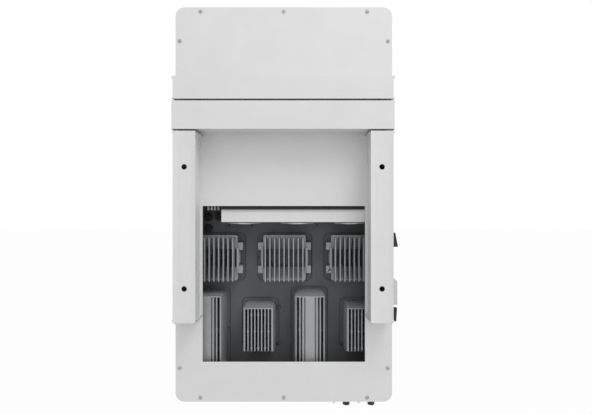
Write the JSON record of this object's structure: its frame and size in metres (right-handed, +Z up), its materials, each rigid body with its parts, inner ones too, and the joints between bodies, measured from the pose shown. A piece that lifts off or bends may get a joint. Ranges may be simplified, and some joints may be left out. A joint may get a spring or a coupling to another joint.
{
  "type": "dc combiner box",
  "caption": "Tall wall-hung outdoor DC combiner cabinet with a folded mounting frame, rear cooling duct with finned sinks and pots, side isolators and a hinged door.",
  "frame": {"origin": "centre of the lower mounting beam's wall-side face", "axes": "+Z up, -Y towards the wall, +Y towards the door, +X towards the side with the rotary isolators"},
  "size_m": [0.6574, 0.3435, 1.1253],
  "materials": {
    "paint": "satin light-grey powder coat",
    "casting": "dark grey coated die casting",
    "fin_casting": "die cast, blasted",
    "zinc": "zinc plated",
    "steel": "stainless, ground",
    "copper": "bare copper bar",
    "black_plastic": "moulded, fine texture",
    "rubber": "foam rubber",
    "grey_plastic": "moulded",
    "laminate": "coated circuit board"
  },
  "bodies": {
    "cabinet": {"rear_cover": "paint", "upper_beam": "paint", "lower_beam": "paint", "left_rail": "paint", "right_rail": "paint", "fan_tray": "paint", "vent_grille": "paint", "front_housing": "paint", "side_cover": "paint", "chassis_casting": "casting", "heat_sink_left": "fin_casting", "heat_sink_centre": "fin_casting", "heat_sink_right": "fin_casting", "choke_pot_tall_left": "fin_casting", "choke_pot_short_left": "fin_casting", "choke_pot_tall_right": "fin_casting", "choke_pot_short_right": "fin_casting", "mounting_plate": "zinc", "din_rail": "zinc", "earth_stud_1": "steel", "earth_stud_2": "steel", "fixed_hinge_leaf_upper": "steel", "fixed_hinge_leaf_lower": "steel", "hinge_pin_upper": "steel", "hinge_pin_lower": "steel", "busbar_positive": "copper", "busbar_negative": "copper", "fan_frame_left": "black_plastic", "fan_frame_centre": "black_plastic", "fan_frame_right": "black_plastic", "duct_gland_plate": "black_plastic", "duct_gland_1": "black_plastic", "duct_gland_2": "black_plastic", "duct_gland_3": "black_plastic", "bottom_gland_1": "black_plastic", "bottom_gland_2": "black_plastic", "output_gland_1": "black_plastic", "output_gland_2": "black_plastic", "connector_panel": "black_plastic", "isolator_switch_upper": "grey_plastic", "isolator_switch_lower": "grey_plastic", "fuse_holder_1": "grey_plastic", "fuse_holder_2": "grey_plastic", "fuse_holder_3": "grey_plastic", "surge_arrester": "grey_plastic", "control_board": "laminate"},
    "door": {"front_door": "paint", "door_gasket": "rubber", "door_hinge_leaf_upper": "steel", "door_hinge_leaf_lower": "steel"},
    "latch_upper": {"door_latch_upper": "zinc"},
    "latch_lower": {"door_latch_lower": "zinc"},
    "isolator_knob_upper": {"isolator_handle_upper": "black_plastic"},
    "isolator_knob_lower": {"isolator_handle_lower": "black_plastic"},
    "rotor_left": {"fan_rotor_left": "black_plastic"},
    "rotor_centre": {"fan_rotor_centre": "black_plastic"},
    "rotor_right": {"fan_rotor_right": "black_plastic"},
    "lever_1": {"fuse_lever_1": "black_plastic"},
    "lever_2": {"fuse_lever_2": "black_plastic"},
    "lever_3": {"fuse_lever_3": "black_plastic"}
  },
  "joints": [
    {"name": "door_swing", "type": "hinge", "parent": "cabinet", "child": "door", "pos_m": [-0.304, 0.338, 0], "axis": [0, 0, 1], "range_deg": [0, 120]},
    {"name": "latch_turn_upper", "type": "hinge", "parent": "door", "child": "latch_upper", "pos_m": [0.258, 0.336, 0.1585], "axis": [0, 1, 0], "range_deg": [0, 90]},
    {"name": "latch_turn_lower", "type": "hinge", "parent": "door", "child": "latch_lower", "pos_m": [0.258, 0.336, -0.6265], "axis": [0, 1, 0], "range_deg": [0, 90]},
    {"name": "isolator_turn_upper", "type": "hinge", "parent": "cabinet", "child": "isolator_knob_upper", "pos_m": [0.3, 0.225, -0.3425], "axis": [1, 0, 0], "range_deg": [0, 90]},
    {"name": "isolator_turn_lower", "type": "hinge", "parent": "cabinet", "child": "isolator_knob_lower", "pos_m": [0.3, 0.225, -0.571], "axis": [1, 0, 0], "range_deg": [0, 90]},
    {"name": "fan_spin_left", "type": "hinge", "parent": "cabinet", "child": "rotor_left", "pos_m": [-0.116, 0.1335, -0.2692], "axis": [0, 0, 1], "continuous": true},
    {"name": "fan_spin_centre", "type": "hinge", "parent": "cabinet", "child": "rotor_centre", "pos_m": [0.038, 0.1335, -0.2692], "axis": [0, 0, 1], "continuous": true},
    {"name": "fan_spin_right", "type": "hinge", "parent": "cabinet", "child": "rotor_right", "pos_m": [0.192, 0.1335, -0.2692], "axis": [0, 0, 1], "continuous": true},
    {"name": "fuse_lever_swing_1", "type": "hinge", "parent": "cabinet", "child": "lever_1", "pos_m": [-0.16, 0.2601, -0.115], "axis": [-1, 0, 0], "range_deg": [0, 80]},
    {"name": "fuse_lever_swing_2", "type": "hinge", "parent": "cabinet", "child": "lever_2", "pos_m": [-0.138, 0.2601, -0.115], "axis": [-1, 0, 0], "range_deg": [0, 80]},
    {"name": "fuse_lever_swing_3", "type": "hinge", "parent": "cabinet", "child": "lever_3", "pos_m": [-0.116, 0.2601, -0.115], "axis": [-1, 0, 0], "range_deg": [0, 80]}
  ]
}
